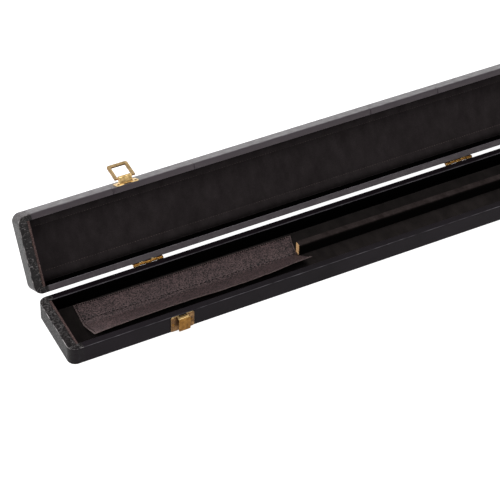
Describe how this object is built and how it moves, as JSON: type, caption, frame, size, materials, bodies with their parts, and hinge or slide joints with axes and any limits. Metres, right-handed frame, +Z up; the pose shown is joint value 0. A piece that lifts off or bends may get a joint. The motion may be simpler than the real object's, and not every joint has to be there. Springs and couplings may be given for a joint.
{
  "type": "cue case",
  "caption": "Long shallow hinged cue case in black leatherette, open, with velvet lining, a divider, a sewn flap, brass draw latches, hinges and a carry handle.",
  "frame": {"origin": "centre of the flat underside of the base", "axes": "+X along the case, -Y to the latch side, +Z up"},
  "size_m": [1.55, 0.2226, 0.1126],
  "materials": {
    "side_leatherette": "satin black, fine grain",
    "end_leatherette": "coarse wrinkled black grain",
    "handle_leatherette": "stitched satin black",
    "velvet": "short black pile",
    "flap_leatherette": "pebbled grey-brown, sewn",
    "timber": "bare sawn softwood",
    "end_board": "dark red-brown paper-faced board",
    "antique_brass": "antique brass plate, darker in its hollows",
    "brass_fasteners": "antique brass plate"
  },
  "bodies": {
    "base": {"base_floor_panel": "timber", "base_front_rail": "timber", "base_rear_rail": "timber", "base_left_block": "timber", "base_right_block": "timber", "base_bottom_cover": "side_leatherette", "base_front_cover": "side_leatherette", "base_rear_cover": "side_leatherette", "base_left_cover": "end_leatherette", "base_right_cover": "end_leatherette", "base_floor_lining": "velvet", "base_front_lining": "velvet", "base_rear_lining": "velvet", "base_left_board": "end_board", "base_right_board": "end_board", "divider_core": "timber", "divider_cover": "velvet", "flap_back": "flap_leatherette", "hinge_1_base_leaf": "antique_brass", "hinge_2_base_leaf": "antique_brass", "hinge_3_base_leaf": "antique_brass", "hinge_4_base_leaf": "antique_brass", "hinge_pins": "brass_fasteners", "latch_left_plate": "antique_brass", "latch_right_plate": "antique_brass", "latch_pins": "brass_fasteners", "base_screws": "brass_fasteners", "handle_left_bracket": "antique_brass", "handle_right_bracket": "antique_brass", "handle_pins": "brass_fasteners"},
    "lid": {"lid_top_panel": "timber", "lid_front_rail": "timber", "lid_rear_rail": "timber", "lid_left_block": "timber", "lid_right_block": "timber", "lid_top_cover": "side_leatherette", "lid_front_cover": "side_leatherette", "lid_rear_cover": "side_leatherette", "lid_left_cover": "end_leatherette", "lid_right_cover": "end_leatherette", "lid_top_lining": "velvet", "lid_front_lining": "velvet", "lid_rear_lining": "velvet", "lid_left_board": "end_board", "lid_right_board": "end_board", "hinge_1_lid_leaf": "antique_brass", "hinge_2_lid_leaf": "antique_brass", "hinge_3_lid_leaf": "antique_brass", "hinge_4_lid_leaf": "antique_brass", "latch_left_lid_plate": "antique_brass", "latch_right_lid_plate": "antique_brass", "lid_screws": "brass_fasteners"},
    "flap": {"flap_front": "flap_leatherette"},
    "left_lever": {"latch_left_lever": "antique_brass"},
    "left_bail": {"latch_left_bail": "antique_brass"},
    "right_lever": {"latch_right_lever": "antique_brass"},
    "right_bail": {"latch_right_bail": "antique_brass"},
    "handle": {"handle_left_link": "antique_brass", "handle_right_link": "antique_brass", "handle_grip": "handle_leatherette"}
  },
  "joints": [
    {"name": "lid_hinge", "type": "hinge", "parent": "base", "child": "lid", "pos_m": [0, 0.0489, 0.0236], "axis": [1, 0, 0], "range_deg": [0, 119]},
    {"name": "left_lever_pivot", "type": "hinge", "parent": "base", "child": "left_lever", "pos_m": [-0.63725, -0.0503, 0.0204], "axis": [1, 0, 0], "range_deg": [-90, 0]},
    {"name": "left_bail_pivot", "type": "hinge", "parent": "lid", "child": "left_bail", "pos_m": [-0.63725, 0.10536, 0.11019], "axis": [1, 0, 0], "range_deg": [0, 157]},
    {"name": "right_lever_pivot", "type": "hinge", "parent": "base", "child": "right_lever", "pos_m": [0.63725, -0.0503, 0.0204], "axis": [1, 0, 0], "range_deg": [-90, 0]},
    {"name": "right_bail_pivot", "type": "hinge", "parent": "lid", "child": "right_bail", "pos_m": [0.63725, 0.10536, 0.11019], "axis": [1, 0, 0], "range_deg": [0, 157]},
    {"name": "flap_fold", "type": "hinge", "parent": "base", "child": "flap", "pos_m": [-0.6, 0.00285, 0.0065], "axis": [-1, 0, 0], "range_deg": [-22, 150]},
    {"name": "handle_swing", "type": "hinge", "parent": "base", "child": "handle", "pos_m": [0, -0.0555, 0.012], "axis": [-1, 0, 0], "range_deg": [0, 98]}
  ]
}
